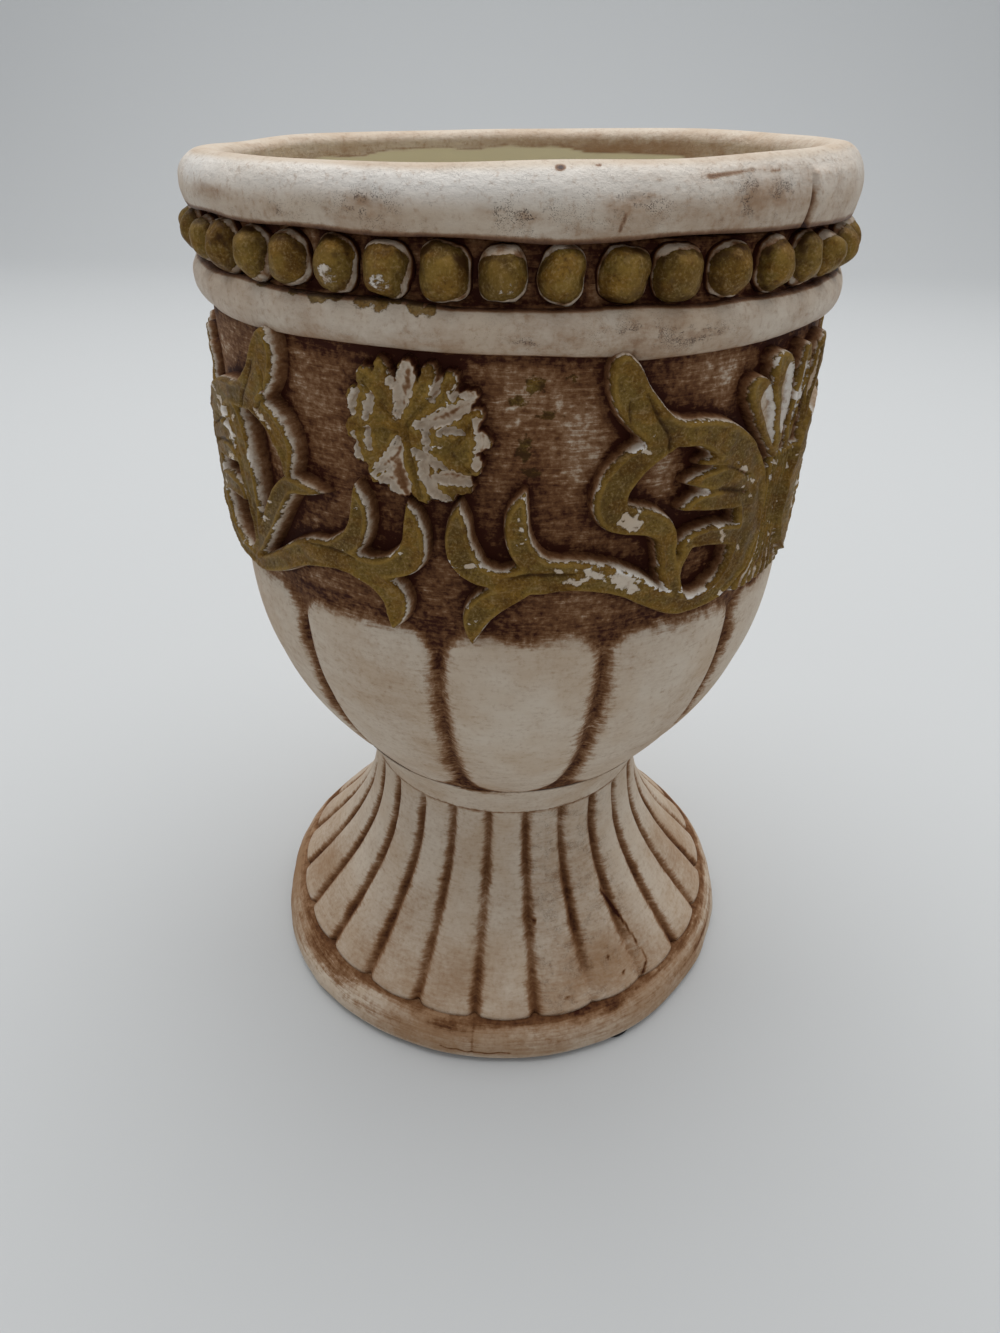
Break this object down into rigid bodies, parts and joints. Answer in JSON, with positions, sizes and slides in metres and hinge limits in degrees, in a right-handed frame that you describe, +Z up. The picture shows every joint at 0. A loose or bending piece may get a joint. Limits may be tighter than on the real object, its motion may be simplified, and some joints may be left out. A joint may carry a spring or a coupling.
{
  "type": "pedestal vase",
  "caption": "Footed urn vase with a beaded rim, relief frieze of scrolls and medallions, lobed cup and reeded hollow pedestal.",
  "frame": {"origin": "on the vase's axis, at the level that its pads rest on", "axes": "+Z up along the axis; -Y is the front, where medallion_1 sits; +X to the right of it"},
  "size_m": [0.1306, 0.1306, 0.201],
  "materials": {
    "cream_clay": "matte cream slip with a brown wash left in the grooves; pale green-cream glaze inside",
    "washed_clay": "matte cream slip under a rubbed brown wash",
    "old_gold": "dry-brushed olive gold, worn to cream at the edges",
    "black_felt": "dense black felt"
  },
  "bodies": {
    "root": {"bowl": "cream_clay", "rim_coil": "cream_clay", "lower_moulding": "cream_clay", "neck_collar": "cream_clay", "pedestal": "cream_clay", "foot_ring": "washed_clay", "bead_01": "old_gold", "bead_02": "old_gold", "bead_03": "old_gold", "bead_04": "old_gold", "bead_05": "old_gold", "bead_06": "old_gold", "bead_07": "old_gold", "bead_08": "old_gold", "bead_09": "old_gold", "bead_10": "old_gold", "bead_11": "old_gold", "bead_12": "old_gold", "bead_13": "old_gold", "bead_14": "old_gold", "bead_15": "old_gold", "bead_16": "old_gold", "bead_17": "old_gold", "bead_18": "old_gold", "bead_19": "old_gold", "bead_20": "old_gold", "bead_21": "old_gold", "bead_22": "old_gold", "bead_23": "old_gold", "bead_24": "old_gold", "bead_25": "old_gold", "bead_26": "old_gold", "bead_27": "old_gold", "bead_28": "old_gold", "bead_29": "old_gold", "bead_30": "old_gold", "bead_31": "old_gold", "bead_32": "old_gold", "bead_33": "old_gold", "bead_34": "old_gold", "bead_35": "old_gold", "bead_36": "old_gold", "bead_37": "old_gold", "bead_38": "old_gold", "bead_39": "old_gold", "bead_40": "old_gold", "bead_41": "old_gold", "bead_42": "old_gold", "bead_43": "old_gold", "bead_44": "old_gold", "medallion_1": "old_gold", "medallion_2": "old_gold", "medallion_3": "old_gold", "garland_1": "old_gold", "garland_2": "old_gold", "garland_3": "old_gold", "foot_pad_1": "black_felt", "foot_pad_2": "black_felt", "foot_pad_3": "black_felt"}
  },
  "joints": []
}
